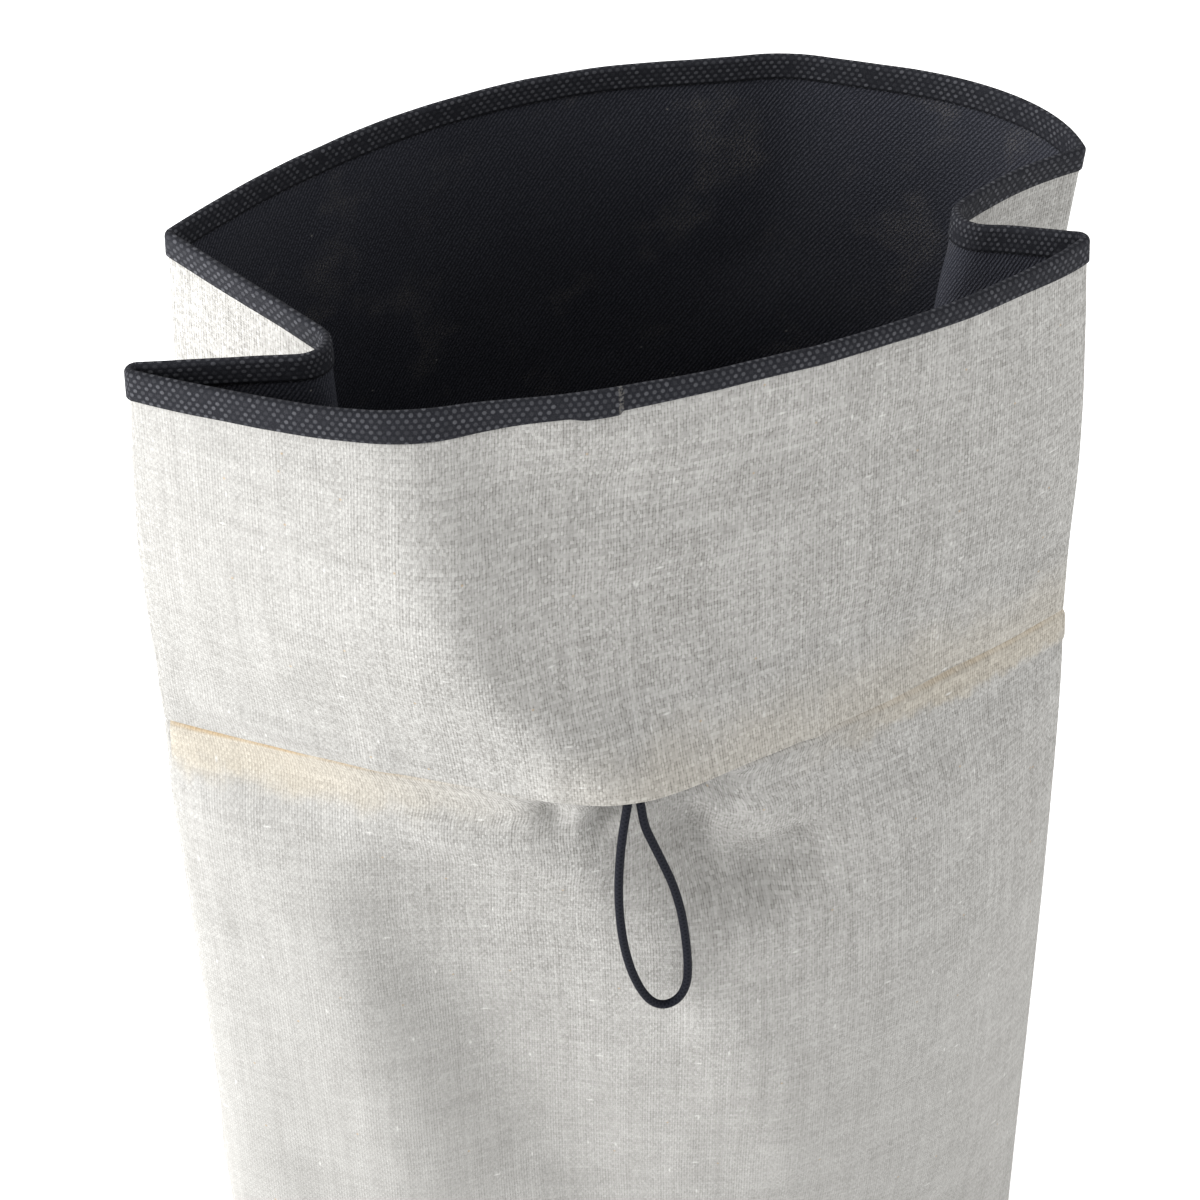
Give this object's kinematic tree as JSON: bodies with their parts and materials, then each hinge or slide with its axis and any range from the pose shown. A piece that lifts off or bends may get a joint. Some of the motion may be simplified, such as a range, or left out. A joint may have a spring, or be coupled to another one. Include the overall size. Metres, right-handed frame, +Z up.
{
  "type": "potato storage bag",
  "caption": "Tall cloth storage bag standing open, with tucked side gussets, a black lining, a bound rim, a cross seam and an elastic cord loop on the front.",
  "frame": {"origin": "centre of the bounding box in plan, on the plane that the bag stands on", "axes": "+Z up from the base to the open mouth, -Y out of the front panel that holds the cord loop, +X to the right of a person who faces the front"},
  "size_m": [0.2907, 0.1985, 0.4],
  "materials": {
    "linen": "matte plain weave",
    "lining": "matte fine rib weave",
    "binding": "matte woven tape",
    "cord": "smooth elastic cord"
  },
  "bodies": {
    "root": {"outer_upper": "linen", "outer_lower": "linen", "base_panel": "linen", "lining": "lining", "binding": "binding", "cord_loop": "cord"}
  },
  "joints": []
}
